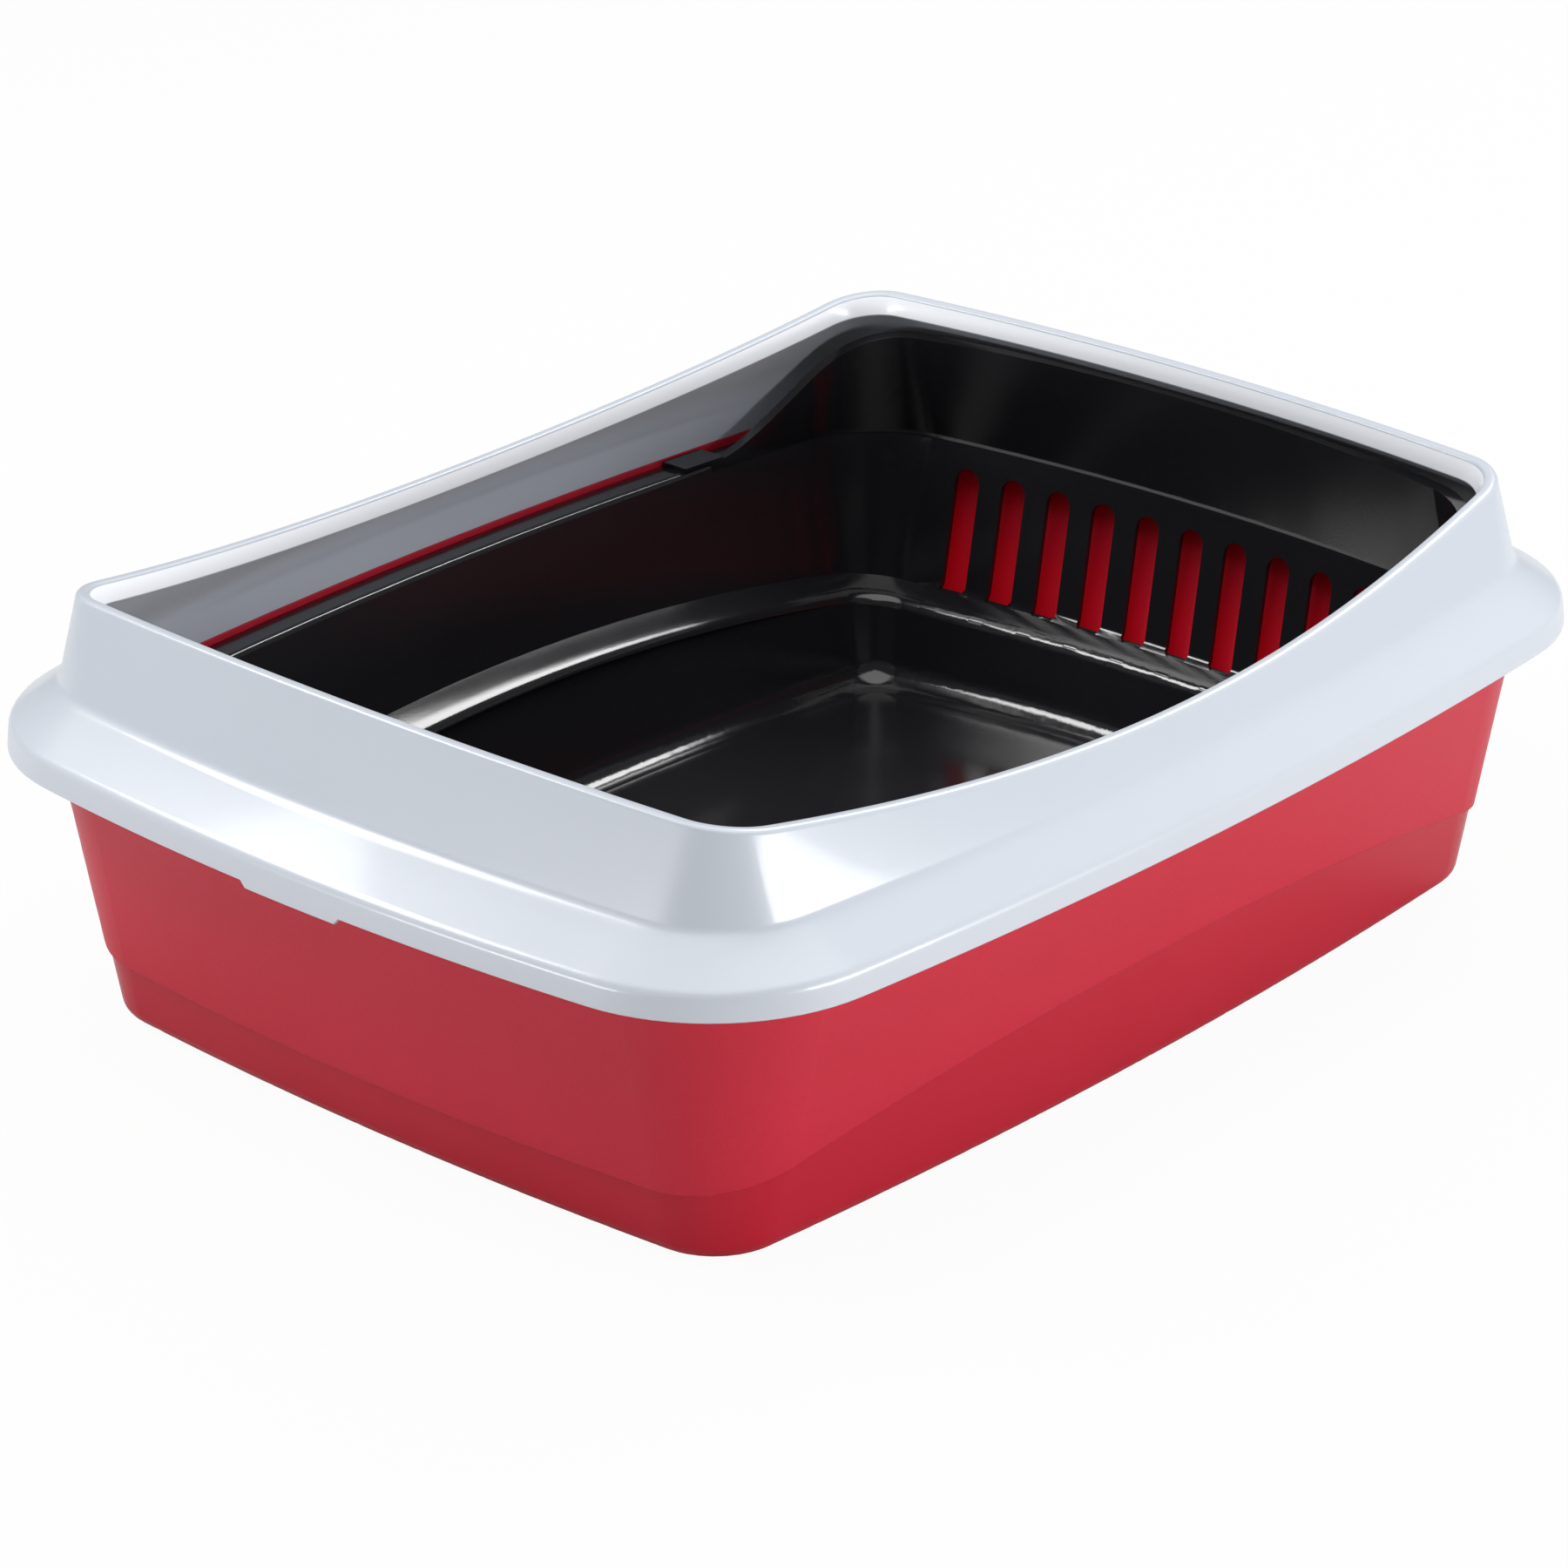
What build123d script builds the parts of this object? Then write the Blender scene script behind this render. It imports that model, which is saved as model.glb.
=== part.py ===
from build123d import *
from dataclasses import dataclass
import math
import os

# Open cat litter box in three moulded pieces.
# A drafted outer tray stands on the floor, a black sieve basin hangs inside it by its lip,
# and a raised frame drops over both rims to keep the litter in.
# Units are millimetres, Z is up, Y is the long axis and the slotted back wall is at plus Y.
# The origin is the middle of the underside of the outer tray.

# Outline of the outer tray where its wall meets the rim
tray_top_width = 400.6
tray_top_length = 525.4
tray_top_side_bow = 15.3
tray_top_end_bow = 16.3
tray_top_corner = 59.0

# Outline of the same wall where it meets the floor
tray_bottom_width = 352.0
tray_bottom_length = 476.8
tray_bottom_side_bow = 10.2
tray_bottom_end_bow = 6.8
tray_bottom_corner = 31.0

# Heights and walls of the outer tray
tray_wall = 2.4
tray_floor = 2.6
tray_ledge_height = 113.5
tray_rim_height = 118.5
tray_rim_wall = 2.2
tray_ledge_width = 3.8
tray_bottom_rounding = 7.0
tray_rim_rounding = 0.9

# Glossy lower band, its upper edge arches up along the long sides
band_recess = 1.4
band_middle_height = 57.0
band_end_height = 23.5
band_edge_rounding = 1.1

# Corner feet under the outer tray
foot_height = 1.2
foot_inset = 12.0
foot_reach = 58.0
foot_draft = 1.0

# Sieve basin
sieve_wall = 2.2
sieve_side_gap = 12.0
sieve_lip_clearance = 1.0
sieve_lip_rounding = 0.8
sieve_lip_inner_rounding = 2.6
sieve_wall_taper = 12.5
sieve_shoulder_height = 43.0
sieve_shoulder_corner = 24.0
sieve_shoulder_width = 11.0
sieve_shoulder_middle_height = 62.0
sieve_shoulder_end_height = 37.5
sieve_shoulder_rounding = 6.0
sieve_shoulder_inner_rounding = 2.5
sieve_lower_corner = 23.0
sieve_lower_taper = 6.0
sieve_floor_clearance = 1.0
sieve_floor_rounding = 12.0

# Raised back wall of the sieve basin
back_wall_height = 163.5
back_wall_lean_side = 11.0
back_wall_lean_end = 12.0
back_wall_corner = 34.0
back_wall_step = 0.9
back_wall_step_drop = 4.0
back_wall_lip = 2.0
back_wall_lip_reach = 2.0
back_wall_foot_y = 145.0
back_wall_head_y = 240.0
back_wall_ease_share = 0.333
back_wall_tab_start = 130.0
back_wall_tab_end = 152.0
back_wall_tab_rise = 2.0

# Drain slots through the back wall
slot_count = 11
slot_width = 7.0
slot_pitch = 24.3
slot_bottom_height = 41.0
slot_top_height = 99.0

# Frame that sits over the rims
frame_wall = 2.2
skirt_height = 116.0
skirt_overhang = 17.3
skirt_clearance = 1.0
skirt_bend_height = 10.5
skirt_bend_inset = 0.9
skirt_bend_rounding = 6.0
frame_foot_height = 140.5
frame_foot_share = 0.602
frame_foot_rounding = 6.0
frame_shelf_wall = 2.8
frame_rib_wall = 2.0
frame_rib_crease_height = 132.5

# Upper edge of the frame
frame_top_width = 374.4
frame_top_length = 478.6
frame_top_side_bow = 19.3
frame_top_end_bow = 9.9
frame_top_corner = 27.0
frame_height = 179.4
frame_dip = 22.6
trim_margin = 4.0
frame_lip_width = 6.6
frame_lip_depth = 8.4
frame_lip_wall = 1.8
frame_lip_outer_rounding = 2.6
frame_lip_inner_chamfer = 0.8

# Grip tab under the skirt at the two short sides
grip_width = 51.0
grip_drop = 2.6
grip_chamfer = 2.4

# Rings in a lofted rounding, and how edges are found again after a cut
rounding_steps = 6
sample_shares = (0.1, 0.5, 0.9)
middle_share = 0.5
match_share = 0.01


@dataclass(frozen=True)
class Outline:
    """Rectangle with bowed sides and rounded corners, seen from above."""

    half_width: float
    half_length: float
    side_bow: float
    end_bow: float
    corner: float

    def inset(self, distance):
        """Same outline moved inward all round, outward if the distance is negative."""
        return Outline(
            self.half_width - distance,
            self.half_length - distance,
            self.side_bow,
            self.end_bow,
            self.corner - distance,
        )

    def toward(self, other, share):
        """Outline part of the way from this one to another."""
        return Outline(
            self.half_width + (other.half_width - self.half_width) * share,
            self.half_length + (other.half_length - self.half_length) * share,
            self.side_bow + (other.side_bow - self.side_bow) * share,
            self.end_bow + (other.end_bow - self.end_bow) * share,
            self.corner + (other.corner - self.corner) * share,
        )

    def with_corner(self, corner):
        """Same outline with another corner radius."""
        return Outline(self.half_width, self.half_length, self.side_bow, self.end_bow, corner)

    def face(self, height):
        """Flat face of this outline at a height."""
        corner_x = self.half_width - self.side_bow
        corner_y = self.half_length - self.end_bow
        with BuildSketch(Plane.XY.offset(height)) as sketch:
            with BuildLine():
                ThreePointArc((corner_x, -corner_y), (self.half_width, 0), (corner_x, corner_y))
                ThreePointArc((corner_x, corner_y), (0, self.half_length), (-corner_x, corner_y))
                ThreePointArc((-corner_x, corner_y), (-self.half_width, 0), (-corner_x, -corner_y))
                ThreePointArc((-corner_x, -corner_y), (0, -self.half_length), (corner_x, -corner_y))
            make_face()
            fillet(sketch.vertices(), self.corner)
        return sketch.sketch.face()


def tapered(lower, lower_height, upper, upper_height):
    """Solid whose walls run straight from one outline to another."""
    return loft([lower.face(lower_height), upper.face(upper_height)], ruled=True)


def outline_at(lower, lower_height, upper, upper_height, height):
    """Outline of a straight wall at any height, above and below its two ends as well."""
    return lower.toward(upper, (height - lower_height) / (upper_height - lower_height))


def between(lower, lower_height, upper, upper_height, start, end):
    """The same straight wall, kept only between a start height and an end height."""
    first = outline_at(lower, lower_height, upper, upper_height, start)
    last = outline_at(lower, lower_height, upper, upper_height, end)
    return tapered(first, start, last, end)


def rounded_base(lower, lower_height, upper, upper_height, radius):
    """Straight wall that rounds into a flat base, lofted through rings along the quarter turn."""
    lean = math.atan2(upper.half_width - lower.half_width, upper_height - lower_height)
    wall_start = lower_height + radius * (1 - math.sin(lean))
    touching = outline_at(lower, lower_height, upper, upper_height, wall_start)
    rings = []
    for step in range(rounding_steps + 1):
        angle = (math.pi / 2 - lean) * step / rounding_steps
        ring = touching.inset(radius * (math.cos(lean) - math.sin(angle)))
        rings.append(ring.face(lower_height + radius * (1 - math.cos(angle))))
    return loft(rings) + tapered(touching, wall_start, upper, upper_height)


def prism(outline, low, high):
    """Solid of one outline between two heights."""
    return extrude(outline.face(low), amount=high - low)


def block(width, length, low, high, x=0, y=0):
    """Upright box centred on a point."""
    box = Box(width, length, high - low, align=(Align.CENTER, Align.CENTER, Align.MIN))
    return Pos(x, y, low) * box


def under_arch(middle_height, end_height, half_length, low):
    """Everything below an arch that spans the long axis and runs across the width."""
    reach = tray_top_width
    with BuildSketch(Plane.YZ.offset(-reach)) as sketch:
        with BuildLine():
            ThreePointArc((-half_length, end_height), (0, middle_height), (half_length, end_height))
            Polyline(
                (half_length, end_height),
                (half_length, low),
                (-half_length, low),
                (-half_length, end_height),
            )
        make_face()
    return extrude(sketch.sketch, amount=2 * reach)


def arch_edges(shape, middle_height, end_height):
    """Edges that lie on the arched surface, seen all along their length."""
    rise = middle_height - end_height
    half_length = tray_top_length / 2
    radius = (half_length**2 + rise**2) / (2 * rise)
    centre_height = middle_height - radius
    found = []
    for edge in shape.edges():
        points = [edge @ share for share in sample_shares]
        offsets = [abs(math.hypot(point.Y, point.Z - centre_height) - radius) for point in points]
        if max(offsets) < match_share * sieve_wall:
            found.append(edge)
    return ShapeList(found)


tray_top = Outline(
    tray_top_width / 2, tray_top_length / 2, tray_top_side_bow, tray_top_end_bow, tray_top_corner
)
tray_bottom = Outline(
    tray_bottom_width / 2,
    tray_bottom_length / 2,
    tray_bottom_side_bow,
    tray_bottom_end_bow,
    tray_bottom_corner,
)
rebate = tray_top.inset(tray_rim_wall - tray_ledge_width)
skirt = tray_top.inset(-skirt_overhang)
flange = skirt.inset(frame_wall + skirt_clearance)
arch_span = tray_top_length / 2
frame_top = Outline(
    frame_top_width / 2, frame_top_length / 2, frame_top_side_bow, frame_top_end_bow, frame_top_corner
)

frame_foot = skirt.toward(frame_top, frame_foot_share)

sieve_rim = tray_top.inset(sieve_side_gap)
sieve_rim_height = tray_ledge_height + sieve_wall
sieve_shoulder = sieve_rim.inset(sieve_wall_taper).with_corner(sieve_shoulder_corner)
sieve_floor_top = foot_height + tray_floor + sieve_floor_clearance + sieve_wall


def outer_tray():
    """Drafted tray with a recessed lower band, a ledge for the sieve basin and a flat rim."""
    arch = under_arch(band_middle_height, band_end_height, arch_span, 0)
    inner_arch = under_arch(band_middle_height + tray_wall, band_end_height + tray_wall, arch_span, 0)

    # The upper wall keeps its full width down to the arch, where its edge is rounded
    upper = tapered(tray_bottom, foot_height, tray_top, tray_ledge_height) - arch
    upper = fillet(arch_edges(upper, band_middle_height, band_end_height), band_edge_rounding)

    # The lower band stands back by the recess and rounds into the underside
    band_top = tray_top.inset(band_recess)
    band_bottom = tray_bottom.inset(band_recess)
    lower = rounded_base(band_bottom, foot_height, band_top, tray_ledge_height, tray_bottom_rounding)
    lower = lower & arch
    body = upper + lower

    # The rim steps out to make the ledge, then turns out flat
    rim_low = tray_ledge_height - tray_rim_wall
    body += prism(rebate.inset(-tray_rim_wall), rim_low, tray_rim_height)
    body += prism(flange, tray_rim_height - tray_rim_wall, tray_rim_height)

    # The hollow follows the outside at the wall thickness, with the same step inside
    floor_top = foot_height + tray_floor
    hollow_bottom = band_bottom.inset(tray_wall)
    hollow_top = band_top.inset(tray_wall)
    hollow_base = outline_at(hollow_bottom, foot_height, hollow_top, tray_ledge_height, floor_top)
    hollow_rounding = tray_bottom_rounding - tray_wall
    hollow = rounded_base(hollow_base, floor_top, hollow_top, tray_ledge_height, hollow_rounding)
    wide_bottom = tray_bottom.inset(tray_wall)
    wide_top = tray_top.inset(tray_wall)
    wide = between(wide_bottom, foot_height, wide_top, tray_ledge_height, floor_top, tray_ledge_height)
    hollow += wide - inner_arch
    body -= hollow
    body -= prism(rebate, tray_ledge_height, tray_rim_height)
    rim_edges = body.edges().group_by(Axis.Z)[-1]
    body = fillet(rim_edges, tray_rim_rounding)

    # Four corner feet carry the floor just clear of the ground
    foot_top = tray_bottom.inset(foot_inset - foot_draft)
    pads = tapered(tray_bottom.inset(foot_inset), 0, foot_top, foot_height)
    gap_width = 2 * (foot_top.half_width - foot_reach)
    gap_length = 2 * (foot_top.half_length - foot_reach)
    pads -= block(gap_width, tray_top_length, 0, foot_height)
    pads -= block(tray_top_width, gap_length, 0, foot_height)
    return body + pads


def arched_basin(rim, shoulder, low_rim, floor, floor_height, rim_height, drop, roundings):
    """Two stepped hollows with an arched shoulder between them, as one solid."""
    arch = under_arch(
        sieve_shoulder_middle_height - drop, sieve_shoulder_end_height - drop, arch_span, 0
    )
    floor_rounding, shoulder_rounding, inner_rounding = roundings
    lower = between(
        floor, floor_height, low_rim, sieve_shoulder_height, floor_height, sieve_shoulder_middle_height + drop
    )
    lower = fillet(lower.edges().group_by(Axis.Z)[0], floor_rounding)
    upper = between(shoulder, sieve_shoulder_height, rim, rim_height, foot_height, rim_height) - arch
    basin = upper + lower
    middle = sieve_shoulder_width / 2
    divider = between(
        shoulder.inset(middle), sieve_shoulder_height, rim.inset(middle), rim_height, foot_height, rim_height
    ).solid()
    lines = arch_edges(basin, sieve_shoulder_middle_height - drop, sieve_shoulder_end_height - drop)
    basin = fillet(split_rings(lines, divider)[0], shoulder_rounding)
    lines = arch_edges(basin, sieve_shoulder_middle_height - drop, sieve_shoulder_end_height - drop)
    return fillet(split_rings(lines, divider)[1], inner_rounding)


def split_rings(edges, divider):
    """Sort the edges of two nested rings into those inside a dividing solid and the rest."""
    inner = ShapeList([edge for edge in edges if divider.is_inside(edge @ middle_share)])
    outer = ShapeList([edge for edge in edges if not divider.is_inside(edge @ middle_share)])
    return inner, outer


def back_wall_profile(low, shift):
    """Side view of the raised wall, its upper edge sweeping up to the back, across the width."""
    start = (back_wall_foot_y, sieve_rim_height - shift)
    end = (back_wall_head_y, back_wall_height - shift)
    ease = (back_wall_head_y - back_wall_foot_y) * back_wall_ease_share
    with BuildSketch(Plane.YZ.offset(-tray_top_width)) as sketch:
        with BuildLine():
            Bezier(start, (start[0] + ease, start[1]), (end[0] - ease, end[1]), end)
            Polyline(end, (tray_top_length, end[1]), (tray_top_length, low), (back_wall_foot_y, low), start)
        make_face()
    return extrude(sketch.sketch, amount=2 * tray_top_width)


def drain_slot():
    """Cutter for one upright slot with a round top, running through the back wall."""
    radius = slot_width / 2
    depth = sieve_shoulder_width + sieve_wall_taper
    start = sieve_rim.half_length - sieve_rim.end_bow - depth
    shank = block(slot_width, 3 * depth, slot_bottom_height, slot_top_height - radius)
    crown = Pos(0, 0, slot_top_height - radius) * Rot(90, 0, 0) * Cylinder(radius, 3 * depth)
    return Pos(0, start + 3 * depth / 2, 0) * (shank + crown)


def inner_ring(body):
    """Upper edges of the hollow, where the wall turns out into the lip."""
    top = body.edges().group_by(Axis.Z)[-1]
    width_limit = (sieve_rim.half_width + rebate.half_width) / 2
    length_limit = (sieve_rim.half_length + rebate.half_length) / 2
    found = []
    for edge in top:
        middle = edge.center()
        if abs(middle.X) < width_limit and abs(middle.Y) < length_limit:
            found.append(edge)
    return ShapeList(found)


def sieve_tray():
    """Black basin with a shoulder, hanging lip and a raised slotted wall at the back."""
    low_rim = sieve_shoulder.inset(sieve_shoulder_width).with_corner(sieve_lower_corner)
    floor = low_rim.inset(sieve_lower_taper)
    outside = arched_basin(
        sieve_rim.inset(-sieve_wall), sieve_shoulder.inset(-sieve_wall), low_rim.inset(-sieve_wall),
        floor.inset(-sieve_wall), sieve_floor_top - sieve_wall, sieve_rim_height, sieve_wall,
        (sieve_floor_rounding + sieve_wall, sieve_shoulder_rounding - sieve_wall,
         sieve_shoulder_inner_rounding + sieve_wall),
    )
    inside = arched_basin(
        sieve_rim, sieve_shoulder, low_rim, floor, sieve_floor_top, sieve_rim_height, 0,
        (sieve_floor_rounding, sieve_shoulder_rounding, sieve_shoulder_inner_rounding),
    )

    # The low lip turns out from the rim and rests on the ledge of the outer tray
    lip_outline = rebate.inset(sieve_lip_clearance)
    lip = prism(lip_outline, tray_ledge_height, sieve_rim_height)
    lip = fillet(lip.edges().group_by(Axis.Z)[-1], sieve_lip_rounding)
    body = outside + lip - inside
    body = fillet(inner_ring(body), sieve_lip_inner_rounding)

    # The raised wall leans in as it climbs and wraps both back corners
    step_height = sieve_rim_height - back_wall_step_drop
    wall_low = sieve_rim.inset(-back_wall_step)
    wall_high = Outline(
        sieve_rim.half_width - back_wall_lean_side,
        sieve_rim.half_length - back_wall_lean_end,
        sieve_rim.side_bow,
        sieve_rim.end_bow,
        back_wall_corner,
    )
    profile = back_wall_profile(step_height, 0)
    edge_band = profile - back_wall_profile(step_height - back_wall_lip, back_wall_lip)
    room = tapered(wall_low, step_height, wall_high, back_wall_height)
    shell = tapered(
        wall_low.inset(-sieve_wall), step_height, wall_high.inset(-sieve_wall), back_wall_height
    )
    reach = sieve_wall + back_wall_lip_reach
    turned = tapered(wall_low.inset(-reach), step_height, wall_high.inset(-reach), back_wall_height)
    raised = (shell & profile) + (turned & edge_band)
    tab = prism(lip_outline, sieve_rim_height, sieve_rim_height + back_wall_tab_rise)
    tab_length = back_wall_tab_end - back_wall_tab_start
    tab_middle = (back_wall_tab_start + back_wall_tab_end) / 2
    tab &= block(tray_top_width, tab_length, 0, tray_rim_height, 0, tab_middle)
    body = body - (room & profile) + (raised + tab - room)
    for index in range(slot_count):
        offset = (index - (slot_count - 1) / 2) * slot_pitch
        body -= Pos(offset, 0, 0) * drain_slot()
    return body


def over_dip(drop):
    """Everything above the sagging upper edge of the frame, lowered by a drop."""
    end_height = frame_height - drop
    high = frame_height + 2 * trim_margin
    with BuildSketch(Plane.YZ.offset(-tray_top_width)) as sketch:
        with BuildLine():
            ThreePointArc(
                (-frame_top.half_length, end_height),
                (0, end_height - frame_dip),
                (frame_top.half_length, end_height),
            )
            Polyline(
                (frame_top.half_length, end_height),
                (tray_top_length, end_height),
                (tray_top_length, high),
                (-tray_top_length, high),
                (-tray_top_length, end_height),
                (-frame_top.half_length, end_height),
            )
        make_face()
    return extrude(sketch.sketch, amount=2 * tray_top_width)


def stacked(rings):
    """Straight walls through a list of outlines and heights, joined into one solid."""
    body = tapered(*rings[0], *rings[1])
    for low, high in zip(rings[1:], rings[2:]):
        body += tapered(*low, *high)
    return body


def level_edges(shape, height):
    """Edges that lie flat at one height."""
    found = []
    for edge in shape.edges():
        points = [edge @ share for share in sample_shares]
        if max(abs(point.Z - height) for point in points) < match_share * frame_wall:
            found.append(edge)
    return ShapeList(found)


def dip_edges(shape):
    """Edges that lie on the sagging upper edge of the frame."""
    radius = (frame_top.half_length**2 + frame_dip**2) / (2 * frame_dip)
    centre_height = frame_height - frame_dip + radius
    found = []
    for edge in shape.edges():
        points = [edge @ share for share in sample_shares]
        offsets = [abs(math.hypot(point.Y, point.Z - centre_height) - radius) for point in points]
        if max(offsets) < match_share * frame_wall:
            found.append(edge)
    return ShapeList(found)


def frame_wall_at(inset, low):
    """Solid inside the leaning wall of the frame, moved inward, from a height to above the top."""
    foot = frame_foot.inset(inset)
    top = frame_top.inset(inset)
    return between(foot, frame_foot_height, top, frame_height, low, frame_height + trim_margin)


def rim_frame():
    """Frosted frame with a leaning wall, a turned lip, a sloping shelf and a skirt."""
    bend_height = skirt_height + skirt_bend_height
    wall_rise = frame_height - frame_foot_height
    over = (wall_rise + trim_margin) / wall_rise
    shell = stacked([
        (skirt, skirt_height),
        (skirt.inset(skirt_bend_inset), bend_height),
        (frame_foot, frame_foot_height),
        (frame_foot.toward(frame_top, over), frame_height + trim_margin),
    ])
    shell = fillet(level_edges(shell, bend_height), skirt_bend_rounding)
    shell = fillet(level_edges(shell, frame_foot_height), frame_foot_rounding)

    # The hollow under the shelf leaves an inner rib that stands on the rim of the outer tray
    inner_bend = frame_wall + skirt_bend_inset
    hollow = stacked([
        (skirt.inset(frame_wall), skirt_height),
        (skirt.inset(inner_bend), bend_height - frame_wall / 2),
        (frame_foot, frame_foot_height - frame_shelf_wall),
    ])
    hollow = fillet(level_edges(hollow, bend_height - frame_wall / 2), skirt_bend_rounding - frame_wall)
    inner_foot = frame_foot.inset(frame_wall)
    inner_top = frame_top.inset(frame_wall)
    lean = (frame_rib_crease_height - frame_foot_height) / wall_rise
    crease = inner_foot.toward(inner_top, lean)
    rib = tapered(
        rebate.inset(-frame_rib_wall), tray_rim_height, crease.inset(-frame_rib_wall), frame_foot_height
    )
    body = shell - (hollow - rib)
    body -= stacked([
        (rebate, skirt_height),
        (rebate, tray_rim_height),
        (crease, frame_rib_crease_height),
        (inner_foot.toward(inner_top, over), frame_height + trim_margin),
    ])

    # The lip turns inward along the sagging edge and hooks down a little
    lip_low = frame_height - frame_dip - frame_lip_depth
    whole = frame_wall_at(frame_wall / 2, lip_low)
    mouth = frame_wall_at(frame_lip_width, lip_low)
    web = (whole - mouth) & over_dip(frame_wall)
    hook = (frame_wall_at(frame_lip_width - frame_lip_wall, lip_low) - mouth) & over_dip(frame_lip_depth)
    body = (body + web + hook) - over_dip(0)
    divider = frame_wall_at(frame_lip_width / 2, lip_low).solid()
    body = chamfer(split_rings(dip_edges(body), divider)[0], frame_lip_inner_chamfer)
    body = fillet(split_rings(dip_edges(body), divider)[1], frame_lip_outer_rounding)

    # A grip tab hangs from the skirt in the middle of each short side
    ring = prism(skirt, skirt_height - grip_drop, skirt_height)
    ring -= prism(skirt.inset(frame_wall), skirt_height - grip_drop, skirt_height)
    half = grip_width / 2
    with BuildSketch(Plane.XZ) as sketch:
        with BuildLine():
            Polyline(
                (-half, skirt_height),
                (-half + grip_chamfer, skirt_height - grip_drop),
                (half - grip_chamfer, skirt_height - grip_drop),
                (half, skirt_height),
                close=True,
            )
        make_face()
    body += ring & extrude(sketch.sketch, amount=tray_top_length, both=True)
    return body


os.makedirs("parts", exist_ok=True)
subparts = {
    "outer_tray": outer_tray,
    "sieve_tray": sieve_tray,
    "rim_frame": rim_frame,
}
for name, build in subparts.items():
    shape = build()
    print(name, "solids:", len(shape.solids()), "valid:", shape.is_valid)
    export_step(shape, f"parts/{name}.step")
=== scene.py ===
# %% [markdown]
# # An open cat litter box in three moulded pieces
# The real object is a red outer tray, a black sieve basin that hangs in it, and a frosted frame
# over both rims. The tray is shown as packed, in metres and in place. The frame, the basin's
# drain slots and its shoulder are drawn again here, closer to the photographed ones, and then
# come the floor, the light and the camera.

# %% Load the model
import math

import bpy
from mathutils import Matrix, Vector


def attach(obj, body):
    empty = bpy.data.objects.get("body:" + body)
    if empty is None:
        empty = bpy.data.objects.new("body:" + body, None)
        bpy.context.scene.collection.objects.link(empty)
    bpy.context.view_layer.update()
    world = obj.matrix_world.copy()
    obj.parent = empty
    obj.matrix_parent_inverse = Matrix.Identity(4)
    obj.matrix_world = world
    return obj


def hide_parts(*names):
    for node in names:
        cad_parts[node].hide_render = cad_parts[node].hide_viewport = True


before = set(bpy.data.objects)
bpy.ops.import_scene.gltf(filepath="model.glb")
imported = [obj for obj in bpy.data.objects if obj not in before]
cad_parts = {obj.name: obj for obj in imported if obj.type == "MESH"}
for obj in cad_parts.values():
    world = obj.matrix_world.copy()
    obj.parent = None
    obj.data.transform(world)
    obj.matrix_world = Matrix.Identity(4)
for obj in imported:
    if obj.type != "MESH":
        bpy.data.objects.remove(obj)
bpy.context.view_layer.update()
scene = bpy.context.scene
for name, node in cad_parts.items():
    print(name, len(node.data.vertices), "points", len(node.data.polygons), "facets")

# %% [markdown]
# ## A short way to write materials
# A Blender material is a graph of nodes. Building it by hand in code is long, so two small
# helpers do it here. `Value` wraps one output socket, and plus, minus, times and so on between
# values add the Math nodes. `Finish` makes every other node from its type, its settings and what
# its sockets are given.

# %% Values
class Value:
    """A number that varies over a surface, written like any number in Python."""

    def __init__(self, finish, socket):
        self.finish = finish
        self.socket = socket

    def _math(self, operation, first, second):
        node = self.finish.add("ShaderNodeMath", {"operation": operation}, {0: first, 1: second})
        return Value(self.finish, node.outputs[0])

    def __add__(self, other):
        return self._math("ADD", self, other)

    def __sub__(self, other):
        return self._math("SUBTRACT", self, other)

    def __rsub__(self, other):
        return self._math("SUBTRACT", other, self)

    def __mul__(self, other):
        return self._math("MULTIPLY", self, other)

    def __pow__(self, other):
        return self._math("POWER", self, other)

    __radd__ = __add__
    __rmul__ = __mul__


print("values can be added, subtracted, multiplied and raised to a power")

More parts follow.
